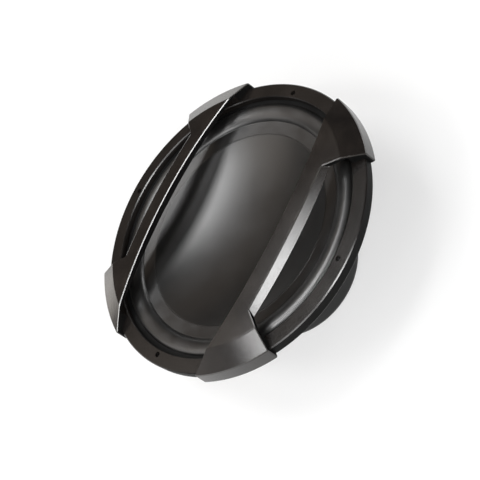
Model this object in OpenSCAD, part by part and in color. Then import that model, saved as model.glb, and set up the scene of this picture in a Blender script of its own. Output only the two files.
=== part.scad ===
// Car subwoofer loudspeaker: moving cone and motor in a spoked basket, under a bolted trim ring
// that carries two guard bars. The origin is the centre of the bolt circle on the rear seat plane
// of the flange, +Z points out of the front, and the guard bars run along Y.

/* [Mounting] */
// Distance from the outside of the trim ring to the bolt circle
bolt_inset = 10; // [8:0.5:11]
// Diameter of the mounting holes
bolt_hole_d = 5.5; // [4.5:0.1:6]
// Diameter of the boss round each mounting hole, under the trim ring
bolt_boss_d = 12; // [9:0.5:13]

/* [Trim ring] */
// Outer diameter of the trim ring
trim_d = 320; // [318:0.5:326]
// Width of the trim ring's face, from the opening to the outside
trim_face_w = 15.5; // [14:0.1:17]
// Height of the outer wall of the trim ring
trim_h = 11.5; // [10:0.5:16]
// Gap between the seat plane and the outer wall
trim_lift = 0.5; // [0.2:0.1:1]
// Thickness of the top and outer walls of the trim ring
trim_t = 3; // [2:0.1:3.5]
// Thickness of the wall round the gasket edge
trim_inner_t = 1.8; // [1.2:0.1:2.2]
// Chamfer round the opening
trim_inner_chamfer = 2.4; // [0.5:0.1:3]
// Chamfer round the outer edge
trim_outer_chamfer = 0.8; // [0.3:0.1:1.5]
// Gap between the outer wall of the trim ring and the edge of the flange
trim_flange_gap = 1; // [0.5:0.1:2]

/* [Guard bars] */
// Half the distance between the inner edges of the bars, at the middle
bar_inner_x = 82.3; // [70:0.1:88]
// Width of the top face of a bar
bar_top_w = 16.5; // [12:0.1:20]
// Extra width of a bar at its underside, outside the top face
bar_flare = 7.5; // [3:0.1:9]
// Thickness of a bar at its inner edge
bar_t = 8; // [5:0.1:10]
// Clear height between the trim ring and the underside of the bars
bar_clearance = 10.5; // [8:0.1:14]
// Plan radius of the curved bars
bar_plan_r = 606; // [500:1:900]
// Radius of the crowned top
bar_crown_r = 1816; // [1200:1:3000]
// Angle from the X axis to the end face of a lug
lug_start = 37.8; // [36:0.1:42]
// Width of the sloping face of a lug over the trim ring
lug_slope_w = 18; // [14:0.5:22]
// Distance from the trim ring to the outside of a lug, at the top of its wall
lug_overhang = 4; // [3:0.1:6]
// Outward draft of the lug wall
lug_draft = 1; // [0:0.1:2]
// Height of the lug wall above the trim ring
lug_wall_rise = 5; // [3:0.1:7]
// Height of the bare trim wall under a lug
lug_skirt_gap = 1.5; // [1:0.1:4]
// Angle from the X axis to the screw under a lug
lug_screw_angle = 52.5; // [50:0.5:56]
// Shank diameter of the lug screws
lug_screw_d = 3; // [2.5:0.1:3.5]
// Head diameter of the lug screws
lug_screw_head_d = 6; // [5:0.1:6.5]
// Head height of the lug screws
lug_screw_head_h = 2; // [1.5:0.1:2.5]
// Length of a lug screw above the trim ring
lug_screw_grip = 8; // [5:0.5:10]
// Depth of blind holes past the end of a screw or rivet
blind_gap = 0.5; // [0.3:0.1:1]

/* [Surround] */
// Thickness of the glued edges of the surround
surround_edge_t = 1.2; // [0.8:0.1:1.6]
// Thickness of the roll
surround_t = 1.8; // [1.2:0.1:2.4]
// Outer width of the roll
roll_w = 18.4; // [15:0.1:20]
// Height of the roll's crest above the outer glued edge
roll_rise = 4; // [2:0.1:6]
// Gap between the gasket and the roll
roll_gap = 0.8; // [0.4:0.1:2]
// Drop from the outer glued edge to the inner one
land_drop = 6.7; // [6:0.1:8]
// Width of the inner glued edge
land_w = 12; // [9:0.1:14]
// Overlap of the surround edge under the trim ring
surround_bearing = 0.9; // [0.6:0.1:1.1]
// Thickness of the front gasket
gasket_t = 1.2; // [0.8:0.1:2]
// Width of the gasket that shows inside the trim ring
gasket_show = 4.3; // [3:0.1:5]

/* [Cone] */
// Thickness of the cone
cone_t = 1.5; // [1:0.1:2]
// Width of the cone's glued rim under the surround
cone_rim_w = 11; // [8:0.1:12]
// Width of the cone's flat rim inside the dished cap's bowl edge
shoulder_lap = 1; // [0.5:0.1:2]
// Gap between the neck collar and the spider's collar
neck_gap = 0.6; // [0.3:0.1:2]
// Height of the neck collar
neck_h = 5; // [3:0.5:5]
// Depth of the dished cap below its rim
dish_depth = 21.7; // [15:0.1:24]
// Thickness of the dished cap
dish_t = 1.2; // [0.8:0.1:1.6]
// Width of the dished cap's flat rim
dish_rim_w = 3.3; // [2.5:0.1:5]
// Groove between the dished cap and the surround
dish_seam = 1.2; // [0.6:0.1:2]
// Cone travel each way
excursion = 10; // [6:0.5:10]

/* [Basket] */
// Thickness of the flange
flange_t = 2.5; // [2:0.1:3.5]
// Distance from the trim ring's opening to the bore of the basket
bore_inset = 7.5; // [6:0.1:9]
// Thickness of the basket walls
basket_t = 2; // [1.5:0.1:2.5]
// Depth of the straight rim below the seat plane
rim_depth = 10; // [8:0.5:14]
// Depth of the spider shelf below the seat plane
shelf_depth = 52; // [51:0.1:53]
// Width of the spider shelf outside the lower wall
shelf_w = 20; // [19:0.5:24]
// Depth of the motor seat below the seat plane
basket_depth = 73; // [71:0.5:80]
// Outer diameter of the lower wall above the motor
lower_wall_d = 148; // [142:0.5:150]
// Hole in the basket floor
floor_hole_d = 90; // [80:1:100]
// Number of spokes
spoke_count = 6; // [4:2:8]
// Angle that each spoke covers
spoke_angle = 22; // [18:1:26]
// Angle of the pressed rib on each spoke
spoke_rib_angle = 7; // [5:1:12]
// Height of the pressed rib
spoke_rib_h = 2; // [1:0.1:3]
// Share of the spoke length left closed at each end of a window
window_margin = 0.06; // [0.04:0.01:0.1]
// Share of the spoke length left bare at each end of a rib
rib_margin = 0.08; // [0.06:0.01:0.12]
// Share of the spoke length that each end of a rib slopes over
rib_ramp = 0.04; // [0.02:0.01:0.08]
// Number of cooling slots in the lower wall
slot_count = 12; // [8:1:14]
// Angle that each cooling slot covers
slot_angle = 15; // [10:1:20]
// Height of the cooling slots
slot_h = 9; // [5:0.5:10]
// Diameter of the basket rivets
rivet_d = 5; // [4:0.1:6]
// Diameter of the circle of basket rivets
rivet_circle_d = 118; // [112:1:122]
// Diameter of the heads of the basket rivets
rivet_head_d = 9; // [7:0.1:10]
// Height of the heads of the basket rivets
rivet_head_h = 1.8; // [1:0.1:2.5]

/* [Suspension and motor] */
// Diameter of the pole piece
pole_d = 62.4; // [60:0.1:64]
// Diameter of the vent through the pole piece
vent_d = 24; // [16:0.5:30]
// Thickness of the coil former
former_t = 0.5; // [0.3:0.1:0.8]
// Thickness of the winding
coil_t = 1.6; // [1:0.1:2]
// Clearance on each side of the moving coil
coil_clearance = 0.6; // [0.4:0.1:0.8]
// Length of bare former below the winding
former_tail = 1; // [0.5:0.1:1.5]
// Distance from the top of the neck to the top of the former
former_inset = 0.5; // [0.2:0.1:1]
// Thickness of the spider cloth
spider_t = 0.8; // [0.5:0.1:1.2]
// Height of the spider's collar above its mid plane
spider_collar_up = 1; // [0.5:0.1:2]
// Height of the spider's collar below its mid plane
spider_collar_down = 2; // [1:0.1:3]
// Width of the flat between the spider's collar and its rolls
spider_collar_w = 3.4; // [2.5:0.1:4.5]
// Mid radius of each half roll
spider_wave_r = 2.4; // [1.8:0.1:2.5]
// Step from the magnets in to the edge of the top plate
top_plate_inset = 3.5; // [0:0.1:6]
// Thickness of the top plate
top_plate_t = 8; // [6:0.5:10]
// Diameter of the ring magnets
magnet_d = 147; // [146:0.5:152]
// Bore of the ring magnets
magnet_bore_d = 84; // [76:1:96]
// Thickness of each ring magnet
magnet_t = 15; // [14:0.5:18]
// Step from the magnets in to the edge of the back plate
back_plate_inset = 3.5; // [0:0.1:6]
// Thickness of the back plate
back_plate_t = 9; // [7:0.5:12]
// Thickness of the rubber boot's wall
boot_t = 5; // [3:0.1:7]
// Thickness of the boot's lip under the back plate
boot_lip_t = 2; // [1.5:0.1:3]
// Width of the boot's lip under the back plate
boot_lip_w = 12; // [6:0.5:20]
// Rounding of the boot's lower edge
boot_round = 8; // [5:0.5:10]
// Overlap of the vent screen round the vent
screen_lap = 6; // [3:0.5:10]
// Thickness of the vent screen
screen_t = 1; // [0.6:0.1:1.5]
// Depth of the recess for the vent screen
screen_recess = 3; // [2:0.1:4]
// Diameter of the holes in the vent screen
screen_hole_d = 3.2; // [2:0.1:3.4]
// Spacing of the holes in the vent screen
screen_pitch = 4.6; // [4.2:0.1:5]

/* [Terminals] */
// Angle from the X axis to the terminal block
terminal_angle = 180; // [180:60:300]
// Edge of the terminal plate beside the posts
terminal_margin = 1.5; // [0.5:0.1:4]
// Thickness of the terminal plate
terminal_t = 3; // [2:0.1:4]
// Gap between the terminal plate and the lower wall of the basket
terminal_gap = 5; // [3:0.5:7]
// Length of the terminal plate outside the spider shelf
terminal_reach = 19; // [18:0.5:24]
// Diameter of the terminal rivets
terminal_rivet_d = 3; // [2.5:0.1:3.5]
// Diameter of the heads of the terminal rivets
terminal_rivet_head_d = 6; // [5:0.1:6.5]
// Height of the heads of the terminal rivets
terminal_rivet_head_h = 1.5; // [1:0.1:2]
// Spacing of the two posts
post_spacing = 18; // [16:0.5:22]
// Outer diameter of a post
post_d = 13; // [12:0.1:14]
// Height of a post under the plate
post_h = 16; // [14:0.5:20]
// Edge of the terminal plate outside the posts
post_edge = 1; // [0.5:0.1:3]
// Thickness left above the bore of a post
post_roof = 1; // [0.6:0.1:1.5]
// Diameter of a button's stem
stem_d = 8; // [7:0.1:9]
// Diameter of a button's cap
button_d = 12; // [10:0.1:13]
// Thickness of a button's cap
button_h = 4; // [3:0.1:6]
// Travel of a button
button_travel = 3; // [2:0.1:3.5]
// Diameter of the wire hole
wire_hole_d = 3.4; // [2.5:0.1:3.8]
// Wall of a post below the wire hole
wire_edge = 2; // [1:0.1:4]
// Length of a button's spring at rest
spring_l = 7; // [6.5:0.1:8]
// Wire diameter of a button's spring
spring_wire_d = 0.7; // [0.5:0.05:0.8]
// Turns of a button's spring
spring_turns = 4; // [3:1:4]
// Width of a contact tab
tab_w = 5; // [4:0.1:6]
// Thickness of a contact tab
tab_t = 0.8; // [0.5:0.1:1]
// Height of a contact tab above the plate
tab_h = 8; // [7:0.5:9]
// Gap between a contact tab and the basket
tab_gap = 0.8; // [0.5:0.1:1.2]
// Length of a lead's end that is soldered to its tab
solder_l = 2; // [1:0.1:3]
// Diameter of a flexible lead
lead_d = 2.2; // [1.6:0.1:2.6]
// Radius where the leads meet the cone
lead_join_r = 62; // [60:0.5:66]
// Diameter of the eyelets on the cone
eyelet_d = 5; // [4:0.1:6]
// Thickness of the eyelets
eyelet_t = 1.2; // [0.8:0.1:1.6]

/* [Clearances] */
// Clearance between fitted pieces
fit_gap = 0.3; // [0.2:0.05:0.4]
// Glue line between the moving and the fixed pieces
glue_gap = 0.3; // [0.2:0.05:0.4]
// Clearance round rivets and screws
shank_gap = 0.1; // [0.05:0.05:0.2]
// Film of glue between the eyelets and the cone
glue_film = 0.05; // [0.02:0.01:0.1]

/* [Hidden] */
$fn = 96;
fine = 720;
// Overrun of cuts past the faces that they open, and overlap of profile pieces that become one
cut = 1;
weld = 0.05;

// Heights of the stack above the seat plane
surround_top = flange_t + surround_edge_t;
gasket_top = surround_top + gasket_t;
trim_top = trim_lift + trim_h;
bar_bottom = trim_top + bar_clearance;
crown_top = bar_bottom + bar_t + bar_inner_x * bar_inner_x / (2 * bar_crown_r);
lug_bottom = trim_lift + lug_skirt_gap;

// Radii of the front stack, from the trim ring inwards
trim_r = trim_d / 2;
bolt_circle_r = trim_r - bolt_inset;
opening_r = trim_r - trim_face_w;
surround_edge_r = opening_r + surround_bearing;
rabbet_r = surround_edge_r + fit_gap;
cavity_r = rabbet_r + trim_inner_t;
flange_r = trim_r - trim_t - trim_flange_gap;
gasket_inner_r = opening_r - gasket_show;
roll_r = roll_w / 2;
roll_centre_r = gasket_inner_r - roll_gap - roll_r;
roll_centre_z = surround_top + roll_rise - roll_r;
land_inner_r = roll_centre_r - roll_r - land_w;
land_top = surround_top - land_drop;
foot_r = opening_r + trim_inner_chamfer;
lug_fold_r = trim_r - lug_slope_w;
lug_screw_r = (cavity_r + trim_r - trim_t) / 2;

// Basket, from the rim down to the motor seat
flange_bore_r = opening_r - bore_inset;
rim_r = flange_bore_r + basket_t;
lower_r = lower_wall_d / 2;
shelf_r = lower_r + shelf_w;
shelf_z = -shelf_depth;
shelf_under = shelf_z - basket_t;
seat_z = -basket_depth;
floor_z = seat_z + basket_t;

// Spokes run on a cone from the rim to the shelf
spoke_run = rim_r - shelf_r;
spoke_drop = shelf_depth - rim_depth;
spoke_len = norm([spoke_run, spoke_drop]);
spoke_wall_r = basket_t * spoke_len / spoke_drop;

// Coil and spider
pole_r = pole_d / 2;
former_r = pole_r + coil_clearance;
former_outer_r = former_r + former_t;
coil_r = former_outer_r + coil_t;
coil_mid = seat_z - top_plate_t / 2;
coil_half = top_plate_t / 2 + excursion;
spider_mid = shelf_z + spider_t / 2;
spider_inner_r = former_outer_r + glue_gap;
spider_outer_r = shelf_r - spoke_wall_r - fit_gap;
spider_start_r = spider_inner_r + spider_collar_w;
spider_room = lower_r - basket_t - fit_gap - spider_start_r;
spider_waves = 2 * floor((spider_room / (2 * spider_wave_r) - 1) / 2) + 1;
spider_end_r = spider_start_r + 2 * spider_waves * spider_wave_r;

// Cone and dished cap
cone_top = land_top - surround_edge_t - glue_gap;
cone_rim_r = land_inner_r + cone_rim_w;
dish_r = land_inner_r - dish_seam;
bowl_r = dish_r - dish_rim_w;
dish_top = cone_top + dish_t;
bowl_sphere_r = (bowl_r * bowl_r + dish_depth * dish_depth) / (2 * dish_depth);
shoulder_r = bowl_r + shoulder_lap;
neck_r = former_outer_r + shank_gap;
neck_bottom = spider_mid + spider_collar_up + neck_gap;
neck_top = neck_bottom + neck_h;
cone_slope = (cone_top - neck_top) / (shoulder_r - neck_r);
cone_wall_z = cone_t * sqrt(1 + cone_slope * cone_slope);
cone_tilt = atan(cone_slope);

// Motor stack, downwards from the motor seat
top_plate_d = magnet_d - 2 * top_plate_inset;
back_plate_d = magnet_d - 2 * back_plate_inset;
plate_bore_r = coil_r + coil_clearance;
plate_bottom = seat_z - top_plate_t;
magnet_mid = plate_bottom - magnet_t;
magnet_bottom = magnet_mid - magnet_t;
yoke_bottom = magnet_bottom - back_plate_t;
boot_bottom = yoke_bottom - boot_lip_t;
boot_inner_r = magnet_d / 2 + fit_gap;
boot_r = boot_inner_r + boot_t;
boot_top = seat_z - fit_gap;
boot_opening_r = back_plate_d / 2 - boot_lip_w;
screen_d = vent_d + 2 * screen_lap;
rivet_bottom = seat_z - top_plate_t / 2;

// Terminal block, along its own radial direction
terminal_w = post_spacing + post_d + 2 * terminal_margin;
terminal_top = shelf_under;
terminal_bottom = terminal_top - terminal_t;
terminal_x0 = lower_r + terminal_gap;
terminal_x1 = shelf_r + terminal_reach;
terminal_rivet_x = (terminal_x0 + shelf_r) / 2;
post_x = terminal_x1 - post_d / 2 - post_edge;
post_y = post_spacing / 2;
post_bottom = terminal_bottom - post_h;
post_floor = terminal_top - post_roof;
stem_r = stem_d / 2;
stem_top = post_floor - spring_l;
cap_top = post_bottom - button_travel - fit_gap;
wire_z = post_bottom + wire_hole_d / 2 + wire_edge;
tab_x = rim_r - spoke_run * (1 - window_margin) + tab_gap;
tab_top = terminal_top + tab_h;

// A point on the outside of a spoke, at a share of its length and a height off the wall
function spoke_point(share, height) = [
    rim_r - spoke_run * share + height * spoke_drop / spoke_len,
    -rim_depth - spoke_drop * share - height * spoke_run / spoke_len
];

// Height of the cone's upper face at a radius
function cone_z(r) = cone_top - (shoulder_r - r) * cone_slope;

// Unit vector and sweep frame along a route
function unit(v) = v / norm(v);
function route_dir(p, i) = unit(p[min(i + 1, len(p) - 1)] - p[max(i - 1, 0)]);
function side_of(d) = unit(cross(d, abs(d.z) < 0.9 ? [0, 0, 1] : [1, 0, 0]));

// Ring of points round each point of a route
function tube_points(p, r, sides) = [
    for (i = [0 : len(p) - 1])
        let (d = route_dir(p, i), u = side_of(d), v = cross(d, u))
        for (k = [0 : sides - 1])
            p[i] + r * (cos(360 * k / sides) * u + sin(360 * k / sides) * v)
];
function tube_faces(n, sides) = concat(
    [for (k = [1 : sides - 2]) [0, k, k + 1]],
    [for (k = [1 : sides - 2]) [(n - 1) * sides, (n - 1) * sides + k + 1, (n - 1) * sides + k]],
    [for (i = [0 : n - 2]) for (k = [0 : sides - 1])
        let (a = i * sides + k, b = i * sides + (k + 1) % sides) [a, a + sides, b]],
    [for (i = [0 : n - 2]) for (k = [0 : sides - 1])
        let (a = i * sides + k, b = i * sides + (k + 1) % sides) [b, a + sides, b + sides]]
);

// Smooth route through hand-set points, with steps between each pair
function smooth(p, steps) = [
    for (i = [0 : len(p) - 2]) for (s = [0 : steps - (i < len(p) - 2 ? 1 : 0)])
        let (t = s / steps, a = p[max(i - 1, 0)], b = p[i], c = p[i + 1], e = p[min(i + 2, len(p) - 1)])
        0.5 * (2 * b + (c - a) * t + (2 * a - 5 * b + 4 * c - e) * t * t
            + (3 * b - a - 3 * c + e) * t * t * t)
];

module sweep(p, r, sides) {
    polyhedron(tube_points(p, r, sides), tube_faces(len(p), sides));
}

module disc(d, z0, z1) {
    translate([0, 0, z0]) cylinder(d = d, h = z1 - z0);
}

module tube(outer_d, inner_d, z0, z1) {
    difference() {
        disc(outer_d, z0, z1);
        disc(inner_d, z0 - cut, z1 + cut);
    }
}

// Rectangle in the profile plane, from one corner to the other
module span(r0, z0, r1, z1) {
    translate([r0, z0]) square([r1 - r0, z1 - z0]);
}

// Copies at the four mounting holes
module at_bolts() {
    for (a = [0 : 90 : 270]) rotate(a) translate([bolt_circle_r, 0, 0]) children();
}

// Copies at the lug screws of one bar
module at_lug_screws() {
    for (s = [-1, 1]) rotate(s * lug_screw_angle) translate([lug_screw_r, 0, 0]) children();
}

// Copies at the basket rivets, in line with the spokes
module at_rivets() {
    for (i = [0 : spoke_count - 1])
        rotate((i + 0.5) * 360 / spoke_count) translate([rivet_circle_d / 2, 0, 0]) children();
}

// Turns a piece to the terminal block's direction
module at_terminal() {
    rotate(terminal_angle) children();
}

// Copies at the two rivets of the terminal plate
module at_terminal_rivets() {
    at_terminal() for (s = [-1, 1]) translate([terminal_rivet_x, s * post_y, 0]) children();
}

// Places a piece at one of the two terminal posts
module at_post(side) {
    at_terminal() translate([post_x, side * post_y, 0]) children();
}

// Gap between two spokes, cut square through the conical wall
module window() {
    window_angle = 360 / spoke_count - spoke_angle;
    depth = 5 * basket_t;
    rotate(-window_angle / 2) rotate_extrude(angle = window_angle) polygon([
        spoke_point(window_margin, depth), spoke_point(1 - window_margin, depth),
        spoke_point(1 - window_margin, -depth), spoke_point(window_margin, -depth)
    ]);
}

// Pressed rib along the middle of a spoke
module spoke_rib() {
    inside = -basket_t / 2;
    rotate(-spoke_rib_angle / 2) rotate_extrude(angle = spoke_rib_angle) polygon([
        spoke_point(rib_margin, inside), spoke_point(rib_margin + rib_ramp, spoke_rib_h),
        spoke_point(1 - rib_margin - rib_ramp, spoke_rib_h), spoke_point(1 - rib_margin, inside)
    ]);
}

// Slot through the lower wall
module cooling_slot() {
    middle = (floor_z + shelf_under) / 2;
    rotate(-slot_angle / 2) rotate_extrude(angle = slot_angle)
        span(lower_r - basket_t - cut, middle - slot_h / 2, lower_r + cut, middle + slot_h / 2);
}

module basket() color("#2b2b2d") difference() {
    union() {
        rotate_extrude() polygon([
            [flange_bore_r, flange_t], [flange_r, flange_t], [flange_r, 0], [rim_r, 0],
            [rim_r, -rim_depth], [shelf_r, shelf_z], [shelf_r, shelf_under], [lower_r, shelf_under],
            [lower_r, seat_z], [floor_hole_d / 2, seat_z], [floor_hole_d / 2, floor_z],
            [lower_r - basket_t, floor_z], [lower_r - basket_t, shelf_z],
            [shelf_r - spoke_wall_r, shelf_z],
            [flange_bore_r, -rim_depth + (spoke_wall_r - basket_t) * spoke_drop / spoke_run]
        ]);
        for (i = [0 : spoke_count - 1]) rotate((i + 0.5) * 360 / spoke_count) spoke_rib();
    }
    for (i = [0 : spoke_count - 1]) rotate(i * 360 / spoke_count) window();
    for (i = [0 : slot_count - 1]) rotate(i * 360 / slot_count) cooling_slot();
    at_bolts() disc(bolt_hole_d, -cut, flange_t + cut);
    at_rivets() disc(rivet_d + 2 * shank_gap, seat_z - cut, floor_z + cut);
    at_terminal_rivets() disc(terminal_rivet_d + 2 * shank_gap, shelf_under - cut, shelf_z + cut);
}

module basket_rivets() color("#9a9a9c") at_rivets() {
    disc(rivet_d, rivet_bottom, floor_z + rivet_head_h / 2);
    disc(rivet_head_d, floor_z, floor_z + rivet_head_h);
}

module trim_ring() color("#2d2826") difference() {
    union() {
        rotate_extrude() polygon([
            [opening_r, gasket_top], [opening_r, trim_top - trim_inner_chamfer], [foot_r, trim_top],
            [trim_r - trim_outer_chamfer, trim_top], [trim_r, trim_top - trim_outer_chamfer],
            [trim_r, trim_lift], [trim_r - trim_t, trim_lift], [trim_r - trim_t, trim_top - trim_t],
            [cavity_r, trim_top - trim_t], [cavity_r, flange_t], [rabbet_r, flange_t],
            [rabbet_r, gasket_top]
        ]);
        intersection() {
            at_bolts() disc(bolt_boss_d, flange_t, trim_top - trim_t / 2);
            tube(2 * trim_r - trim_t, 2 * rabbet_r, 0, trim_top);
        }
    }
    at_bolts() disc(bolt_hole_d, 0, trim_top + cut);
    for (a = [0, 180]) rotate(a) at_lug_screws()
        disc(lug_screw_d + 2 * shank_gap, flange_t, trim_top + cut);
}

module front_gasket() color("#3a3a3a")
    tube(2 * surround_edge_r, 2 * gasket_inner_r, surround_top, gasket_top);

// Revolved outline of the bars: crowned top, sloping lug face, skirt, foot and flat underside
module bar_outline() {
    crown_z = crown_top - lug_fold_r * lug_fold_r / (2 * bar_crown_r);
    lug_r = trim_r + lug_overhang;
    wall_top = trim_top + lug_wall_rise;
    slope = (crown_z - wall_top) / (lug_r - lug_fold_r);
    peak_r = lug_fold_r / 2;
    intersection() {
        polygon([
            [peak_r, bar_bottom], [foot_r, bar_bottom], [foot_r, trim_top],
            [trim_r + fit_gap, trim_top], [trim_r + fit_gap, lug_bottom],
            [lug_r + lug_draft, lug_bottom], [lug_r, wall_top],
            [peak_r, wall_top + (lug_r - peak_r) * slope]
        ]);
        translate([0, crown_top - bar_crown_r]) circle(r = bar_crown_r, $fn = 4 * fine);
    }
}

module guard_bar() {
    edge_x = bar_inner_x - bar_plan_r;
    reach = 2 * trim_r;
    difference() {
        intersection() {
            rotate_extrude() bar_outline();
            union() {
                translate([edge_x + bar_top_w, 0, bar_bottom])
                    cylinder(r1 = bar_plan_r + bar_flare, r2 = bar_plan_r, h = bar_t, $fn = fine);
                for (s = [-1, 1]) linear_extrude(2 * crown_top) polygon([
                    [0, 0], reach * [cos(lug_start), s * sin(lug_start)],
                    [reach, s * reach], [0, s * reach]
                ]);
            }
        }
        translate([edge_x, 0, 0]) cylinder(r = bar_plan_r, h = 2 * crown_top, $fn = fine);
        at_lug_screws()
            disc(lug_screw_d + 2 * shank_gap, trim_top - cut, trim_top + lug_screw_grip + blind_gap);
    }
}

module guard_bar_right() color("#332d29") guard_bar();

module guard_bar_left() color("#332d29") rotate(180) guard_bar();

module guard_screws() color("#8c8c8e") for (a = [0, 180]) rotate(a) at_lug_screws() {
    seat = trim_top - trim_t;
    disc(lug_screw_d, seat - lug_screw_head_h / 2, trim_top + lug_screw_grip);
    disc(lug_screw_head_d, seat - lug_screw_head_h, seat);
}

module surround() color("#1c1c1d") rotate_extrude() {
    inner_r = roll_r - surround_t;
    roll_start = roll_centre_r - roll_r;
    edge_start = roll_centre_r + sqrt(pow(inner_r, 2) - pow(flange_t - roll_centre_z, 2));
    span(land_inner_r, land_top - surround_edge_t, roll_start + surround_t, land_top);
    span(roll_start, land_top - surround_edge_t, roll_start + surround_t, roll_centre_z);
    span(edge_start - weld, flange_t, surround_edge_r, surround_top);
    translate([roll_centre_r, roll_centre_z]) intersection() {
        difference() {
            circle(r = roll_r);
            circle(r = inner_r);
        }
        union() {
            span(-roll_r, 0, 0, roll_r);
            span(0, flange_t - roll_centre_z, roll_r, roll_r);
        }
    }
}

module cone() color("#3b3b3c") rotate_extrude() polygon([
    [cone_rim_r, cone_top], [shoulder_r, cone_top], [neck_r, neck_top], [neck_r, neck_bottom],
    [neck_r + cone_t, neck_bottom], [neck_r + cone_t, cone_z(neck_r + cone_t) - cone_wall_z],
    [shoulder_r + (cone_wall_z - cone_t) / cone_slope, cone_top - cone_t],
    [cone_rim_r, cone_top - cone_t]
]);

module dished_cap() color("#444445") rotate_extrude() {
    span(bowl_r - weld, cone_top, dish_r, dish_top);
    intersection() {
        translate([0, dish_top - dish_depth + bowl_sphere_r]) difference() {
            circle(r = bowl_sphere_r + dish_t, $fn = fine);
            circle(r = bowl_sphere_r, $fn = fine);
        }
        span(0, dish_top - dish_depth - 2 * dish_t, bowl_r, dish_top);
    }
}

module coil_former() color("#b9bcc0") tube(2 * former_outer_r, 2 * former_r,
    coil_mid - coil_half - former_tail, neck_top - former_inset);

module voice_coil() color("#b5713c")
    tube(2 * coil_r, 2 * former_outer_r, coil_mid - coil_half, coil_mid + coil_half);

// Half roll of the spider: up or down from the mid height
module half_roll(up) {
    outer_r = spider_wave_r + spider_t / 2;
    intersection() {
        difference() {
            circle(r = outer_r, $fn = 48);
            circle(r = outer_r - spider_t, $fn = 48);
        }
        span(-outer_r, up ? 0 : -outer_r, outer_r, up ? outer_r : 0);
    }
}

module spider() color("#c8b27c") rotate_extrude() {
    under = spider_mid - spider_t / 2;
    over = spider_mid + spider_t / 2;
    span(spider_inner_r, spider_mid - spider_collar_down, spider_inner_r + spider_t,
        spider_mid + spider_collar_up);
    span(spider_inner_r, under, spider_start_r + spider_t / 2, over);
    for (i = [0 : spider_waves - 1])
        translate([spider_start_r + (2 * i + 1) * spider_wave_r, spider_mid]) half_roll(i % 2 == 0);
    span(spider_end_r - spider_t / 2, under, spider_outer_r, over);
}

module top_plate() color("#6d6e70") difference() {
    tube(top_plate_d, 2 * plate_bore_r, plate_bottom, seat_z);
    at_rivets() disc(rivet_d + 2 * shank_gap, rivet_bottom - blind_gap, seat_z + cut);
}

module magnet_front() color("#3d3d40") tube(magnet_d, magnet_bore_d, magnet_mid, plate_bottom);

module magnet_rear() color("#3d3d40") tube(magnet_d, magnet_bore_d, magnet_bottom, magnet_mid);

module pole_yoke() color("#6d6e70") difference() {
    union() {
        disc(back_plate_d, yoke_bottom, magnet_bottom);
        disc(pole_d, magnet_bottom - back_plate_t / 2, seat_z);
    }
    disc(vent_d, yoke_bottom - cut, seat_z + cut);
    disc(screen_d + 2 * fit_gap, yoke_bottom - cut, yoke_bottom + screen_recess);
}

module vent_screen() color("#202022") difference() {
    disc(screen_d, yoke_bottom + screen_recess - screen_t, yoke_bottom + screen_recess);
    for (ring = [0 : 2]) for (k = [0 : max(6 * ring, 1) - 1])
        rotate(k * 60 / max(ring, 1)) translate([ring * screen_pitch, 0, 0])
            disc(screen_hole_d, yoke_bottom, yoke_bottom + screen_recess + cut);
}

module magnet_boot() color("#29292a") rotate_extrude() difference() {
    round_r = boot_r - boot_round;
    round_z = boot_bottom + boot_round;
    union() {
        span(boot_opening_r, boot_bottom, round_r, round_z);
        span(boot_opening_r, round_z, boot_r, boot_top);
        translate([round_r, round_z]) intersection() {
            circle(r = boot_round);
            span(-weld, -boot_round, boot_round, weld);
        }
    }
    span(0, yoke_bottom, boot_inner_r, boot_top + cut);
}

module terminal_block() color("#1f1f20") difference() {
    union() {
        at_terminal() translate([terminal_x0, -terminal_w / 2, terminal_bottom])
            cube([terminal_x1 - terminal_x0, terminal_w, terminal_t]);
        for (s = [-1, 1]) at_post(s) disc(post_d, post_bottom, terminal_bottom + terminal_t / 2);
    }
    for (s = [-1, 1]) at_post(s) {
        disc(stem_d + 2 * fit_gap, post_bottom - cut, post_floor);
        translate([0, 0, wire_z]) rotate([0, 90, 0]) cylinder(d = wire_hole_d, h = post_d);
    }
    at_terminal_rivets()
        disc(terminal_rivet_d + 2 * shank_gap, terminal_bottom - cut, terminal_top + cut);
    at_terminal() for (s = [-1, 1])
        translate([tab_x - shank_gap, s * post_y - tab_w / 2 - shank_gap, terminal_bottom - cut])
            cube([tab_t + 2 * shank_gap, tab_w + 2 * shank_gap, terminal_t + 2 * cut]);
}

module terminal_rivets() color("#9a9a9c") at_terminal_rivets() {
    disc(terminal_rivet_d, terminal_bottom - terminal_rivet_head_h / 2, shelf_z);
    disc(terminal_rivet_head_d, terminal_bottom - terminal_rivet_head_h, terminal_bottom);
}

// Sprung button: cap, stem and the cross hole that lines up with the post's when pressed
module button(side) {
    at_post(side) difference() {
        union() {
            disc(button_d, cap_top - button_h, cap_top);
            disc(stem_d, cap_top - button_h / 2, stem_top);
        }
        translate([0, 0, wire_z - button_travel]) rotate([0, 90, 0])
            cylinder(d = wire_hole_d, h = button_d, center = true);
    }
}

module positive_button() color("#b3261e") button(1);

module negative_button() color("#18181a") button(-1);

// Open helix between the post's floor and the button's stem
module button_spring(side) {
    turn_r = stem_r - spring_wire_d / 2 - fit_gap;
    rings = 8 * spring_turns;
    start_z = stem_top + fit_gap + spring_wire_d / 2;
    rise = spring_l - 2 * fit_gap - spring_wire_d;
    route = [
        for (i = [0 : rings])
            let (a = 360 * spring_turns * i / rings)
            [turn_r * cos(a), turn_r * sin(a), start_z + rise * i / rings]
    ];
    at_post(side) sweep(route, spring_wire_d / 2, 6);
}

module positive_spring() color("#c0c2c4") button_spring(1);

module negative_spring() color("#c0c2c4") button_spring(-1);

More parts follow.
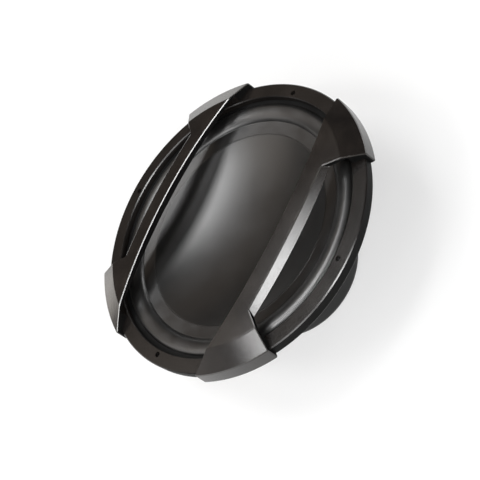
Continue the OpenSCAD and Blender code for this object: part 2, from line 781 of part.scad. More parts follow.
// Flat tab through the plate, with a turned foot towards its post
module contact(side) {
    foot_l = post_x - post_d / 2 - tab_x - shank_gap;
    at_terminal() translate([tab_x, side * post_y - tab_w / 2, terminal_bottom - tab_t]) {
        cube([tab_t, tab_w, tab_top - terminal_bottom + tab_t]);
        cube([foot_l, tab_w, tab_t]);
    }
}

module positive_contact() color("#c9a24a") contact(1);

module negative_contact() color("#c9a24a") contact(-1);

// Lead from a contact tab, through the basket window, to the eyelet under the cone
eyelet_r = norm([lead_join_r, post_y]);
eyelet_z = cone_z(eyelet_r) - cone_wall_z;
lead_end_gap = eyelet_t + glue_gap;
lead_start = [tab_x - lead_d / 2 - shank_gap, post_y, tab_top - solder_l];
lead_end = [
    lead_join_r + lead_end_gap * sin(cone_tilt), post_y, eyelet_z - lead_end_gap * cos(cone_tilt)
];
lead_route = [
    lead_start, lead_start + [-1, 0, 3], lead_start + [-4, 0.5, 6], lead_start + [-10, 1, 8],
    lead_end + [13, 1, -3.5], lead_end + [6, 0.5, -4], lead_end + [1.5, 0, -2], lead_end
];

module lead(side) {
    at_terminal() mirror([0, side < 0 ? 1 : 0, 0]) sweep(smooth(lead_route, 3), lead_d / 2, 8);
}

module positive_lead() color("#c98a54") lead(1);

module negative_lead() color("#c98a54") lead(-1);

module lead_eyelets() color("#b08a3c") at_terminal() for (s = [-1, 1])
    rotate(s * atan(post_y / lead_join_r)) translate([eyelet_r, 0, eyelet_z])
        rotate([0, -cone_tilt, 0]) disc(eyelet_d, -eyelet_t - glue_film, -glue_film);

basket();
basket_rivets();
trim_ring();
front_gasket();
guard_bar_right();
guard_bar_left();
guard_screws();
surround();
cone();
dished_cap();
coil_former();
voice_coil();
spider();
top_plate();
magnet_front();
magnet_rear();
pole_yoke();
vent_screen();
magnet_boot();
terminal_block();
terminal_rivets();
positive_button();
negative_button();
positive_spring();
negative_spring();
positive_contact();
negative_contact();
positive_lead();
negative_lead();
lead_eyelets();
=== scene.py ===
"""Looks of the car subwoofer: finishes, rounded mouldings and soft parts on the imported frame.

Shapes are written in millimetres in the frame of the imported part: +Z points out of the front,
the guard bars run along Y, and the terminals are on the -X side. The studio is in metres.
"""
import math

import bpy
import numpy as np
from mathutils import Matrix, Vector, geometry

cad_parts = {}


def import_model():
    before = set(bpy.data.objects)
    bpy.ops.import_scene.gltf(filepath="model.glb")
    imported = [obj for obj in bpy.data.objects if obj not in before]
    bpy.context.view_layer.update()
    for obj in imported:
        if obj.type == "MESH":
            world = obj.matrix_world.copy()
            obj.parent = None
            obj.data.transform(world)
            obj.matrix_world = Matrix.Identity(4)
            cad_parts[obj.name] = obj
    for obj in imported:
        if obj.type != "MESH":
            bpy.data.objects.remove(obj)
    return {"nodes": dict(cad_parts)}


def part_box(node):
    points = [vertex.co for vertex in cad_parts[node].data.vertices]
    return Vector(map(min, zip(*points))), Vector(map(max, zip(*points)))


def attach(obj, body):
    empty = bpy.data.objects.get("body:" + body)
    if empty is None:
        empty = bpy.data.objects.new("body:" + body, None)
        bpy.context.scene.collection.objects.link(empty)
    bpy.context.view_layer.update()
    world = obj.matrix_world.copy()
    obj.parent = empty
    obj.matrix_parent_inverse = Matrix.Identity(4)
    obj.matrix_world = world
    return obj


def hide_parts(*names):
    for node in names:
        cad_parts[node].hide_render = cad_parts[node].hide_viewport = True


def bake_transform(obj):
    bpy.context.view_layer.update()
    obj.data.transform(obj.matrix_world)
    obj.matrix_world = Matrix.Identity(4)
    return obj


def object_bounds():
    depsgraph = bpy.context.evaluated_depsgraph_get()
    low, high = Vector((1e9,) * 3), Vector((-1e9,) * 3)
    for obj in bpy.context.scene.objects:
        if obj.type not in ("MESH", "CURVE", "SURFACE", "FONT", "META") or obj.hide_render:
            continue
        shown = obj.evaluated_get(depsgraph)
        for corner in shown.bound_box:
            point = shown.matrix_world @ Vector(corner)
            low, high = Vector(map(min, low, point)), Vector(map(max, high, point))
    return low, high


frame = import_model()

CAD_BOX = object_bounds()
NODES = frame["nodes"]
MM = 0.001


def corners(node):
    """Lowest and highest corner of a CAD node's box, in millimetres."""
    return [[round(value / MM, 2) for value in corner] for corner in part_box(node)]


# Gap between mouldings that lap over each other
LAP_GAP = 0.3

# Trim ring, with the flange and the gasket that it lies on
FLANGE_TOP = corners("basket")[1][2]
GASKET_LOW, GASKET_HIGH = corners("front_gasket")
GASKET_R = GASKET_HIGH[0]
GASKET_TOP = GASKET_HIGH[2]
TRIM_LOW, TRIM_HIGH = corners("trim_ring")
TRIM_R = TRIM_HIGH[0]
TRIM_TOP = TRIM_HIGH[2]
TRIM_LIFT = TRIM_LOW[2]
TRIM_WALL = 3
TRIM_ROUND = 0.3
TRIM_FOOT_ROUND = 0.8
OUTER_CHAMFER = (1.0, 1.0)
INNER_CHAMFER = (0.8, 1.12)
CHAMFER_ROUND = 0.15
OPENING_R = 144.5
RABBET_R = GASKET_R + LAP_GAP
CAVITY_R = 147.5
BOLT_CIRCLE_R = 150
BOLT_HOLE_R = 2.75
BOSS_R = 4.2
BOSS_LIFT = 0.1
BOSS_COVER = 1
HOLE_OVERRUN = 1
TRIM_STEPS = 240
# Angle of the ring's first facet, so that no facet of a boss or a hole lies on one of the ring's
TRIM_START = 0.4

# Guard bars
BAR_INNER_X = 82.3
BAR_TOP_W = 16.5
BAR_FLARE = 7.5
BAR_T = 8
BAR_BOTTOM = 22.5
BAR_PLAN_R = 606
CROWN_R = 1816
FOOT_R = 146.9
SKIRT_R = TRIM_R + LAP_GAP
LUG_START = math.radians(37.8)
LUG_FOLD_R = 142
LUG_R = 164
LUG_DRAFT = 1
LUG_WALL_TOP = 17
LUG_BOTTOM = corners("guard_bar_right")[0][2]
FOLD_SOFT = 0.3
EDGE_CHAMFER = 0.9
BEVEL_LEAN = 1.4
BEVEL_EDGE = 0.1
CORNER_ROUND = 1.3
# A wall that looks outward by less than this cosine gets the painted shade of a darker, near-unreflecting
# plastic, as the ring's outer wall does
SHADED_WALL_LIMIT = 0.3

# Points of a bar: along its inner edge, its lug ends, its lug arcs, its outer edge and its folds
INNER_POINTS = 72
INNER_REACH = 142
LUG_END_POINTS = 14
LUG_ARC_STEPS = 24
OUTER_POINTS = 48
FOLD_POINTS = 24
# Room for the rounded corners: a length, and the angles in degrees at both ends of a lug's arc
CORNER_CLEAR = 3
LUG_ARC_CLEAR = (0.8, 1.2)
# Radii just before and after each step of the underside, and across the fold of the top
STEP_GAP = 0.01
BAR_STEPS = (FOOT_R - STEP_GAP, FOOT_R + STEP_GAP, SKIRT_R - STEP_GAP, SKIRT_R + STEP_GAP)
FOLD_RINGS = (LUG_FOLD_R - 1, LUG_FOLD_R, LUG_FOLD_R + 1)

# Dished cap, on the cone's shoulder
DISH_R = 107.9
DISH_T = 1.2
DISH_TOP = -2.75
DISH_SEAT_R = 105.5
DISH_UNDER = corners("cone")[1][2]
RIM_TOP = -2.6
RIM_ROUND = 0.15
SEAT_ROUND = 0.2
DISH_ROUND = 0.3
BOWL_R = 107
BOWL_DEPTH = 22.8
BOWL_ROUND = 3
BOWL_POINTS = 60
UNDER_BOWL_POINTS = 40
# Angles in radians from the bowl's axis to its first point, and from its edge to its last point below
BOWL_AXIS_GAP = 0.002
BOWL_EDGE_GAP = 0.025

# Surround: the feet and the crest of its roll, the land inside it and the edge under the gasket
SEAM_GAP = 0.15
ROLL_FEET = (121, 142.4)
ROLL_CREST = 134.3
ROLL_BASE = -1.5
ROLL_H = 9.2
SURROUND_T = 1.8
LAND_R = DISH_R + SEAM_GAP
LAND_UNDER = corners("surround")[0][2]
EDGE_R = GASKET_R
EDGE_TOP = GASKET_LOW[2]
EDGE_T = 1.2
SURROUND_ROUND = 0.3
ROLL_FOOT_ROUND = 0.8
ROLL_EDGE_ROUND = 0.9
UNDER_ROLL_ROUND = 0.6
# Angles in degrees at which the two sides of the roll start at its inner foot, and their steps
ROLL_START, ROLL_STEPS = 170, 40
UNDER_ROLL_START, UNDER_ROLL_STEPS = 180, 24
SURROUND_SECTORS = 72
SURROUND_STEPS = 4

# Spider: its collar as inner and outer radius, bottom and top
SPIDER_Z = -51.6
SPIDER_T = 0.8
SPIDER_R = 90.7
SPIDER_COLLAR = (32.6, 33.4, -53.6, -50.6)
SPIDER_ROUND = 0.2
COLLAR_FOOT_ROUND = 0.3
ROLLS_START = 36
ROLLS = 7
ROLL_HALF = 2.4
POINTS_PER_ROLL = 12
SPIDER_SECTORS = 18
SPIDER_STEPS = 8

# Terminals and leads; the routes are on the +Y side, where the negative post is
SPRING_LOW, SPRING_HIGH = corners("negative_spring")
POST_X = (SPRING_LOW[0] + SPRING_HIGH[0]) / 2
POST_Y = (SPRING_LOW[1] + SPRING_HIGH[1]) / 2
SPRING_WIRE_R = 0.35
SPRING_R = (SPRING_HIGH[0] - SPRING_LOW[0]) / 2 - SPRING_WIRE_R
SPRING_INSET = 0.3
SPRING_Z = (SPRING_LOW[2] + SPRING_INSET, SPRING_HIGH[2] - SPRING_INSET)
SPRING_TURNS = 4
POINTS_PER_TURN = 24
LEAD_R = 1.1
LEAD_SIDES = 36
POINTS_PER_LEG = 8
LEAD_STRANDS = 6
LEAD_TWIST = 0.45
STRAND_DEPTH = 0.14
LEAD_ROUTE = (
    (-96.3, 9, -48), (-95.3, 9, -45), (-92.3, 9.5, -42), (-86.3, 10, -40),
    (-75.7, 10, -34.8), (-68.7, 9.5, -35.3), (-64.2, 9, -33.3), (-62.7, 9, -31.3),
)

# Camera that was fitted to the photograph: its right, up and back directions, place and lens
CAMERA_AXES = (
    (0.66889, 0.45336, -0.58912),
    (-0.23948, 0.88135, 0.40686),
    (0.70409, -0.13119, 0.69819),
)
CAMERA_PLACE = (0.6344, -0.1267, 0.6118)
CAMERA_LENS = 65.57

# Floor: half its width, its paint, the share of white that it shows of itself near the part, and the
# distances between which that share rises to all; the rest is the lamps' light, so shadows stay
FLOOR_REACH = 6.0
FLOOR_PAINT = (0.5, 0.5, 0.5, 1)
NEAR_GLOW = 0.45
GLOW_FADE = (0.25, 1.2)

# World: white up to the top of the walls, and a dim ceiling, by the height of a direction
WALLS_TOP = 0.02
CEILING_START = 0.11
CEILING = 0.05

# Lamps: direction from the part, width, height, radiance and colour
LAMP_DISTANCE = 1.4
WHITE = (1, 1, 1)
SOFT_WARM = (1, 0.95, 0.92)
LAMPS = {
    "key_core": ((0.80, -0.03, 0.60), 0.3, 0.3, 10, WHITE),
    "key": ((0.80, 0.04, 0.60), 0.3, 0.55, 8, WHITE),
    "key_wide": ((0.80, 0.0, 0.60), 0.3, 0.85, 5, WHITE),
    "overhead": ((-0.32, 0.02, 0.945), 0.34, 0.8, 7, WHITE),
    "overhead_top": ((0.10, -0.06, 0.99), 0.25, 0.4, 11, WHITE),
    "overhead_back": ((0.05, 0.25, 0.97), 0.7, 0.9, 0.5, WHITE),
    "overhead_front": ((0.06, -0.46, 0.885), 0.38, 0.28, 13, WHITE),
    "overhead_right": ((0.39, -0.40, 0.83), 0.25, 0.25, 7, WHITE),
    "front": ((0.15, -0.88, 0.46), 0.8, 0.45, 4, WHITE),
    "corner": ((0.63, -0.54, 0.555), 0.3, 0.6, 6, WHITE),
    "back": ((0.1, 0.98, 0.12), 0.6, 0.3, 5, WHITE),
    "bounce": ((-0.70, 0.20, 0.68), 0.6, 1.2, 0.17, (1, 0.75, 0.55)),
    "fill_left": ((-0.58, -0.62, 0.53), 0.7, 0.6, 1.0, SOFT_WARM),
    "fill_lug": ((-0.28, -0.64, 0.71), 0.35, 0.25, 0.8, SOFT_WARM),
    "bounce_front": ((-0.57, -0.30, 0.755), 0.6, 0.5, 0.8, (1, 0.9, 0.8)),
    "rim_upper": ((-0.9, 0.43, 0.05), 0.3, 0.6, 0.8, (1, 0.97, 0.9)),
    "rim_lower": ((-0.95, -0.29, 0.075), 0.25, 0.3, 1.8, (1, 0.93, 0.85)),
}


# Shader helpers

# Distance between the bands of a wave texture of scale 1
WAVE_PITCH = 0.31


def shader_of(material):
    """Principled shader of a material."""
    return material.node_tree.nodes["Principled BSDF"]


def new_finish(name, colour, roughness, **values):
    """Material with a Principled shader; values are sockets with spaces written as underscores."""
    material = bpy.data.materials.new(name)
    material.use_nodes = True
    shader = shader_of(material)
    shader.inputs["Base Color"].default_value = (*colour, 1)
    shader.inputs["Roughness"].default_value = roughness
    for socket, value in values.items():
        shader.inputs[socket.replace("_", " ")].default_value = value
    return material


def add_node(material, kind, inputs=(), **properties):
    """Add a node, set its properties, and set or link its inputs, which are pairs of name and value."""
    tree = material.node_tree
    node = tree.nodes.new(kind)
    for name, value in properties.items():
        setattr(node, name, value)
    for name, value in inputs:
        if isinstance(value, bpy.types.NodeSocket):
            tree.links.new(value, node.inputs[name])
        else:
            node.inputs[name].default_value = value
    return node


def place(material):
    """Coordinates in the frame of the part, in metres."""
    return add_node(material, "ShaderNodeTexCoord").outputs["Object"]


def noise(material, size, detail=3.0, spread=0.2):
    """Noise from 0 to 1 with features of about size millimetres."""
    texture = add_node(material, "ShaderNodeTexNoise", [
        ("Vector", place(material)), ("Scale", 1 / (size * MM)), ("Detail", detail),
    ])
    return remap(material, texture.outputs["Fac"], 0, 1, 0.5 - spread, 0.5 + spread)


def bands(material, pitch, axis, *inputs):
    """Bands across an axis, pitch millimetres apart."""
    return add_node(material, "ShaderNodeTexWave", [
        ("Vector", place(material)), ("Scale", WAVE_PITCH / (pitch * MM)), *inputs,
    ], bands_direction=axis).outputs["Fac"]


def remap(material, value, low, high, from_low=0.0, from_high=1.0):
    """Value scaled from one range to another."""
    return add_node(material, "ShaderNodeMapRange", [
        ("Value", value), ("From Min", from_low), ("From Max", from_high),
        ("To Min", low), ("To Max", high),
    ]).outputs["Result"]


def math_of(material, operation, a, b=0.0):
    """Result of a Math node."""
    return add_node(material, "ShaderNodeMath", [(0, a), (1, b)], operation=operation).outputs[0]


def tint(material, mask, dark, light):
    """Base colour that goes from dark to light with the mask."""
    mix = add_node(material, "ShaderNodeMix", [
        (0, mask), (6, (*dark, 1)), (7, (*light, 1)),
    ], data_type="RGBA")
    material.node_tree.links.new(mix.outputs[2], shader_of(material).inputs["Base Color"])


def vary_roughness(material, mask, low, high):
    """Roughness that goes from low to high with the mask."""
    roughness = remap(material, mask, low, high)
    material.node_tree.links.new(roughness, shader_of(material).inputs["Roughness"])


def bump(material, height, depth):
    """Relief of depth millimetres, added to any relief the material already has."""
    normal = shader_of(material).inputs["Normal"]
    inputs = [("Height", height), ("Distance", depth * MM)]
    if normal.is_linked:
        inputs.append(("Normal", normal.links[0].from_socket))
    relief = add_node(material, "ShaderNodeBump", inputs)
    material.node_tree.links.new(relief.outputs["Normal"], normal)


def soften(material, radius):
    """Round the hard edges of a CAD node in the shading, before any relief."""
    edge = add_node(material, "ShaderNodeBevel", [("Radius", radius * MM)], samples=6)
    material.node_tree.links.new(edge.outputs["Normal"], shader_of(material).inputs["Normal"])


# Finishes

def moulded_plastic(name, dark, light, roughness, grain=0.9, depth=0.02, gloss=0.62, ior=1.5):
    """Satin plastic with a fine spark-eroded grain."""
    material = new_finish(name, dark, roughness, Specular_IOR_Level=gloss, IOR=ior)
    speckle = noise(material, grain, detail=2)
    cloud = noise(material, 30)
    tint(material, math_of(material, "MULTIPLY", speckle, cloud), dark, light)
    vary_roughness(material, cloud, roughness - 0.015, roughness + 0.02)
    bump(material, speckle, depth)
    return material


def rubber(name, dark, light, roughness, depth=0.02, gloss=0.5, ior=1.5):
    """Rubber with a faint bloom and a fine skin."""
    material = new_finish(name, dark, roughness, Specular_IOR_Level=gloss, IOR=ior)
    bloom = noise(material, 18, detail=4)
    skin = noise(material, 0.7, detail=2)
    tint(material, bloom, dark, light)
    vary_roughness(material, bloom, roughness - 0.04, roughness + 0.06)
    bump(material, skin, depth)
    return material


def powder_coat(name, dark, light, roughness, edge):
    """Painted metal with an orange-peel skin and softened edges."""
    material = new_finish(name, dark, roughness)
    soften(material, edge)
    peel = noise(material, 2.2, detail=2)
    cloud = noise(material, 25)
    tint(material, cloud, dark, light)
    vary_roughness(material, cloud, roughness - 0.05, roughness + 0.06)
    bump(material, peel, 0.06)
    return material


def metal(name, dark, light, roughness, edge=0.3, size=6):
    """Plated or bare metal with a patchy tone."""
    material = new_finish(name, dark, roughness, Metallic=1.0)
    soften(material, edge)
    patch = noise(material, size, detail=4)
    tint(material, patch, dark, light)
    vary_roughness(material, patch, roughness - 0.06, roughness + 0.1)
    bump(material, noise(material, 0.5, detail=2), 0.012)
    return material


def ferrite():
    """Sintered magnet: dull, pitted and slightly mottled."""
    material = new_finish("ferrite", (0.03, 0.03, 0.033), 0.62)
    pits = noise(material, 1.4, detail=5)
    tint(material, noise(material, 9, detail=4), (0.022, 0.022, 0.024), (0.05, 0.05, 0.054))
    vary_roughness(material, pits, 0.52, 0.72)
    bump(material, pits, 0.08)
    return material


def pulp():
    """Pressed paper cone with fibres that lie every way."""
    material = new_finish("pulp", (0.03, 0.03, 0.031), 0.75)
    fibre = noise(material, 1.6, detail=6)
    tint(material, fibre, (0.018, 0.018, 0.019), (0.055, 0.054, 0.052))
    vary_roughness(material, fibre, 0.65, 0.85)
    bump(material, fibre, 0.12)
    return material


def winding():
    """Enamelled copper wire, wound in close turns along the axis."""
    material = new_finish("winding", (0.6, 0.25, 0.1), 0.3, Metallic=1.0)
    turns = bands(material, 0.7, "Z", ("Distortion", 0.2))
    tint(material, turns, (0.3, 0.1, 0.035), (0.66, 0.3, 0.13))
    vary_roughness(material, noise(material, 5), 0.24, 0.38)
    bump(material, turns, 0.12)
    return material


def weave():
    """Resin-dipped cloth with threads along X and Y."""
    material = new_finish("weave", (0.4, 0.27, 0.12), 0.7)
    threads = [bands(material, 1.1, axis, ("Distortion", 0.6), ("Detail", 1.0)) for axis in ("X", "Y")]
    cloth = math_of(material, "MULTIPLY", *threads)
    resin = noise(material, 14, detail=4)
    stain = math_of(material, "MULTIPLY", cloth, remap(material, resin, 0.5, 1))
    tint(material, stain, (0.16, 0.1, 0.04), (0.5, 0.36, 0.17))
    vary_roughness(material, resin, 0.55, 0.8)
    bump(material, cloth, 0.12)
    return material


def braid():
    """Tinsel lead: bright strands with darker gaps."""
    material = new_finish("braid", (0.55, 0.33, 0.17), 0.4, Metallic=1.0)
    strand = noise(material, 0.5)
    tint(material, strand, (0.3, 0.16, 0.07), (0.62, 0.42, 0.25))
    vary_roughness(material, strand, 0.32, 0.5)
    bump(material, strand, 0.05)
    return material


def make_finishes():
    """One material for each material slot of the record."""
    black = (0.012, 0.012, 0.0125)
    worn_black = (0.02, 0.02, 0.021)
    return {
        "basket_paint": powder_coat("basket_paint_coat", black, worn_black, 0.42, edge=0.8),
        "rivet_steel": metal("zinc", (0.42, 0.42, 0.43), (0.6, 0.6, 0.59), 0.34),
        "trim_plastic": moulded_plastic(
            "trim_grain", (0.005, 0.0042, 0.0038), (0.016, 0.0128, 0.0112), 0.24),
        "gasket_rubber": rubber(
            "gasket_skin", (0.003, 0.003, 0.003), (0.006, 0.006, 0.006), 0.55, depth=0.01, gloss=0.15),
        "bar_plastic": moulded_plastic(
            "bar_grain", (0.006, 0.0048, 0.0042), (0.022, 0.0175, 0.0145), 0.22),
        "surround_rubber": rubber(
            "surround_skin", (0.0045, 0.0043, 0.0042), (0.008, 0.0077, 0.0075), 0.33, gloss=1.0, ior=1.64),
        "cone_pulp": pulp(),
        "cap_plastic": moulded_plastic(
            "cap_satin", (0.004, 0.0039, 0.0038), (0.009, 0.0086, 0.0083), 0.31,
            grain=0.8, depth=0.008, gloss=1.0, ior=1.58),
        "former_aluminium": metal("foil", (0.6, 0.6, 0.61), (0.72, 0.72, 0.73), 0.3),
        "winding_copper": winding(),
        "spider_cloth": weave(),
        "plate_steel": metal("blackened_steel", (0.1, 0.1, 0.104), (0.19, 0.19, 0.195), 0.4),
        "magnet_ferrite": ferrite(),
        "screen_paint": powder_coat("screen_coat", black, worn_black, 0.45, edge=0.2),
        "boot_rubber": rubber(
            "boot_skin", (0.006, 0.006, 0.006), (0.011, 0.0107, 0.0105), 0.46, depth=0.04, gloss=0.32),
        "terminal_plastic": moulded_plastic(
            "terminal_grain", black, (0.022, 0.022, 0.022), 0.4, grain=0.8, depth=0.03),
        "button_red": moulded_plastic(
            "red_gloss", (0.38, 0.012, 0.01), (0.5, 0.025, 0.018), 0.22, grain=1.2, depth=0.01),
        "button_black": moulded_plastic(
            "black_gloss", black, (0.018, 0.018, 0.018), 0.22, grain=1.2, depth=0.01),
        "spring_steel": metal("spring_wire", (0.45, 0.45, 0.46), (0.6, 0.6, 0.6), 0.25),
        "contact_brass": metal("brass", (0.58, 0.4, 0.15), (0.68, 0.5, 0.22), 0.3),
        "lead_braid": braid(),
    }


# Mesh helpers

def unit(v):
    """Vector of length 1 along a vector."""
    v = np.asarray(v, float)
    return v / np.linalg.norm(v)


def rounded(outline, steps=5):
    """Points and outward normals of a closed anticlockwise outline.

    A point (x, y) lies on a smooth curve; a point (x, y, radius) is a corner that gets that radius.
    """
    points, normals = [], []
    for i, corner in enumerate(outline):
        here = np.array(corner[:2], float)
        back = unit(here - np.array(outline[i - 1][:2]))
        ahead = unit(np.array(outline[(i + 1) % len(outline)][:2]) - here)
        turn = math.atan2(back[0] * ahead[1] - back[1] * ahead[0], back @ ahead)
        radius = corner[2] if len(corner) == 3 else 0
        side = math.copysign(radius, turn)
        first = math.atan2(-back[0], back[1])
        centre = here - back * radius * math.tan(abs(turn) / 2) - side * np.array((back[1], -back[0]))
        for share in np.linspace(0, 1, steps + 1) if radius else (0.5,):
            angle = first + turn * share
            normal = np.array((math.cos(angle), math.sin(angle)))
            points.append(centre + side * normal)
            normals.append(normal)
    return np.array(points), np.array(normals)


def arc(centre, radius, start, end, steps):
    """Points (x, y) of an arc, with the angles in degrees."""
    return [
        (centre[0] + radius * math.cos(a), centre[1] + radius * math.sin(a))
        for a in np.radians(np.linspace(start, end, steps + 1))
    ]


def make_piece(name, points, normals, faces, flat=()):
    """Mesh object from millimetre points; faces shade by the point normals, flat faces by their own."""
    mesh = bpy.data.meshes.new(name)
    mesh.from_pydata([Vector(p) * MM for p in points], [], [*faces, *flat])
    mesh.shade_smooth()
    corner_normals = []
    for polygon in mesh.polygons:
        if polygon.index < len(faces):
            corner_normals += [Vector(normals[v]) for v in polygon.vertices]
        else:
            corner_normals += [polygon.normal.copy()] * polygon.loop_total
    mesh.normals_split_custom_set(corner_normals)
    piece = bpy.data.objects.new(name, mesh)
    bpy.context.scene.collection.objects.link(piece)
    return piece


def dress(piece, slot):
    """Give a piece the finish of a material slot."""
    piece.data.materials.clear()
    piece.data.materials.append(FINISHES[slot])


def refinish(piece, finish, faces):
    """Give the numbered faces of a dressed piece another finish."""
    mesh = piece.data
    mesh.materials.append(finish)
    for i in faces:
        mesh.polygons[i].material_index = len(mesh.materials) - 1


def lathe(name, outline, start=0, end=360, steps=180, capped=False):
    """Revolve an (r, z) outline about Z. A capped outline starts under the axis and ends above it."""
    profile, profile_normals = rounded(outline)
    if capped:
        profile_normals[0] = (0, -1)
        profile_normals[-1] = (0, 1)
    whole = end - start == 360
    angles = np.radians(np.linspace(start, end, steps + 1))[:steps if whole else steps + 1]
    points = [(r * math.cos(a), r * math.sin(a), z) for a in angles for r, z in profile]
    normals = [(r * math.cos(a), r * math.sin(a), z) for a in angles for r, z in profile_normals]
    n = len(profile)
    sides = range(n - 1) if capped else range(n)
    faces = []
    for j in range(steps):
        near, far = j * n, (j + 1) % len(angles) * n
        faces += [(near + i, far + i, far + (i + 1) % n, near + (i + 1) % n) for i in sides]
    flat = []
    if capped:
        rings = range(0, len(points), n)
        flat = [tuple(reversed(rings)), tuple(j + n - 1 for j in rings)]
    if not whole:
        flat = [tuple(range(n)), tuple(reversed(range(steps * n, steps * n + n)))]
    return make_piece(name, points, normals, faces, flat)


def tube(name, route, radius, sides=12, strands=0, twist=0.0):
    """Closed tube along a route; its strands turn by twist radians at each point."""
    points, normals = [], []
    across = None
    for i, here in enumerate(route):
        along = unit(route[min(i + 1, len(route) - 1)] - route[max(i - 1, 0)])
        if across is None:
            across = np.cross(along, (0, 0, 1) if abs(along[2]) < 0.9 else (1, 0, 0))
        across = unit(across - along * (across @ along))
        up = np.cross(along, across)
        for k in range(sides):
            angle = 2 * math.pi * k / sides
            groove = 0.5 - 0.5 * math.cos(strands * angle + twist * i)
            reach = radius * (1 - STRAND_DEPTH * (strands > 0) * groove)
            out = math.cos(angle) * across + math.sin(angle) * up
            points.append(here + out * reach)
            normals.append(out)
    last = (len(route) - 1) * sides
    faces = []
    for near in range(0, last, sides):
        far = near + sides
        for k in range(sides):
            beside = (k + 1) % sides
            faces.append((near + k, near + beside, far + beside, far + k))
    caps = [tuple(reversed(range(sides))), tuple(range(last, last + sides))]
    return make_piece(name, points, normals, faces, caps)


def smooth_route(route, steps):
    """Catmull-Rom curve through the points of a route."""
    p = [np.array(q, float) for q in route]
    curve = []
    for i in range(len(p) - 1):
        a, b, c, d = p[max(i - 1, 0)], p[i], p[i + 1], p[min(i + 2, len(p) - 1)]
        for t in np.arange(steps) / steps:
            curve.append(0.5 * (2 * b + (c - a) * t + (2 * a - 5 * b + 4 * c - d) * t**2
                                + (3 * b - a - 3 * c + d) * t**3))
    return curve + [p[-1]]


def cut(piece, cutters, operation):
    """Apply a boolean of each cutter to the piece, and delete the cutters."""
    for cutter in cutters:
        modifier = piece.modifiers.new("cut", "BOOLEAN")
        modifier.operation = operation
        modifier.object = cutter
        modifier.solver = "MANIFOLD"
    result = bpy.data.meshes.new_from_object(piece.evaluated_get(bpy.context.evaluated_depsgraph_get()))
    piece.modifiers.clear()
    piece.data = result
    for cutter in cutters:
        bpy.data.objects.remove(cutter)


def shade_as_lathe(mesh, outline):
    """Give a cut lathe back the normals of its outline, and flat normals where it was cut."""
    on_outline = 0.02
    same_way = 0.9
    profile, profile_normals = rounded(outline)
    corner_normals = []
    for polygon in mesh.polygons:
        for v in polygon.vertices:
            x, y, z = mesh.vertices[v].co / MM
            r = math.hypot(x, y)
            gaps = np.hypot(profile[:, 0] - r, profile[:, 1] - z)
            near = int(np.argmin(gaps))
            nr, nz = profile_normals[near]
            normal = Vector((nr * x / r, nr * y / r, nz))
            smooth = gaps[near] < on_outline and normal.dot(polygon.normal) > same_way
            corner_normals.append(normal if smooth else polygon.normal.copy())
    mesh.shade_smooth()
    mesh.normals_split_custom_set(corner_normals)


# Rigid mouldings

def peg(name, centre, radius, low, high):
    """Plain round cutter with its axis along Z."""
    axis_r = 0.3
    outline = [(axis_r, low), (radius, low), (radius, high), (axis_r, high)]
    disc = lathe(name, outline, steps=40, capped=True)
    disc.location = (centre[0] * MM, centre[1] * MM, 0)
    return disc


def on_outer_wall(face):
    """Whether a face of the trim ring belongs to its outer wall."""
    lean, depth = 0.1, 0.1
    return abs(face.normal.z) < lean and math.hypot(*face.center[:2]) > (TRIM_R - depth) * MM


def trim_ring():
    """Grained ring with rounded edges, a hollow back, and a boss under each mounting hole."""
    outer_inset, outer_drop = OUTER_CHAMFER
    inner_inset, inner_drop = INNER_CHAMFER
    inner_wall_r = TRIM_R - TRIM_WALL
    ceiling = TRIM_TOP - TRIM_WALL
    outline = [
        (RABBET_R, FLANGE_TOP, TRIM_ROUND), (CAVITY_R, FLANGE_TOP, TRIM_ROUND),
        (CAVITY_R, ceiling, TRIM_ROUND), (inner_wall_r, ceiling, TRIM_ROUND),
        (inner_wall_r, TRIM_LIFT, TRIM_ROUND), (TRIM_R, TRIM_LIFT, TRIM_FOOT_ROUND),
        (TRIM_R, TRIM_TOP - outer_drop, CHAMFER_ROUND),
        (TRIM_R - outer_inset, TRIM_TOP, CHAMFER_ROUND),
        (OPENING_R + inner_inset, TRIM_TOP, CHAMFER_ROUND),
        (OPENING_R, TRIM_TOP - inner_drop, CHAMFER_ROUND),
        (OPENING_R, GASKET_TOP, TRIM_ROUND), (RABBET_R, GASKET_TOP, TRIM_ROUND),
    ]
    ring = lathe("trim_ring_moulding", outline, TRIM_START, TRIM_START + 360, TRIM_STEPS)
    bosses, holes = [], []
    for i, (x, y) in enumerate(((1, 0), (0, 1), (-1, 0), (0, -1))):
        bolt = (BOLT_CIRCLE_R * x, BOLT_CIRCLE_R * y)
        bosses.append(peg(f"boss_{i}", bolt, BOSS_R, FLANGE_TOP + BOSS_LIFT, TRIM_TOP - BOSS_COVER))
        holes.append(peg(f"hole_{i}", bolt, BOLT_HOLE_R, 0, TRIM_TOP + HOLE_OVERRUN))
    cut(ring, bosses, "UNION")
    cut(ring, holes, "DIFFERENCE")
    shade_as_lathe(ring.data, outline)
    dress(ring, "trim_plastic")
    # The ring's outer wall gets the darker, near-unreflecting plastic: painted shade
    refinish(ring, SHADED_WALL_FINISH, [face.index for face in ring.data.polygons if on_outer_wall(face)])
    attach(ring, "frame")
    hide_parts("trim_ring")


def bar_top(r):
    """Height of a bar's top: the crown, which folds down to the sloping face of the lug."""
    crown_top = BAR_BOTTOM + BAR_T + BAR_INNER_X**2 / (2 * CROWN_R)
    fold_z = crown_top - LUG_FOLD_R**2 / (2 * CROWN_R)
    crown = crown_top - r * r / (2 * CROWN_R)
    slope = LUG_WALL_TOP + (fold_z - LUG_WALL_TOP) * (LUG_R - r) / (LUG_R - LUG_FOLD_R)
    share = min(max(0.5 + 0.5 * (slope - crown) / FOLD_SOFT, 0), 1)
    return slope * (1 - share) + crown * share - FOLD_SOFT * share * (1 - share)


def bar_top_normal(x, y):
    """Upward normal of a bar's top at a place in plan."""
    r = math.hypot(x, y)
    step = 0.05
    fall = (bar_top(r - step) - bar_top(r + step)) / (2 * step)
    return unit((fall * x / r, fall * y / r, 1))


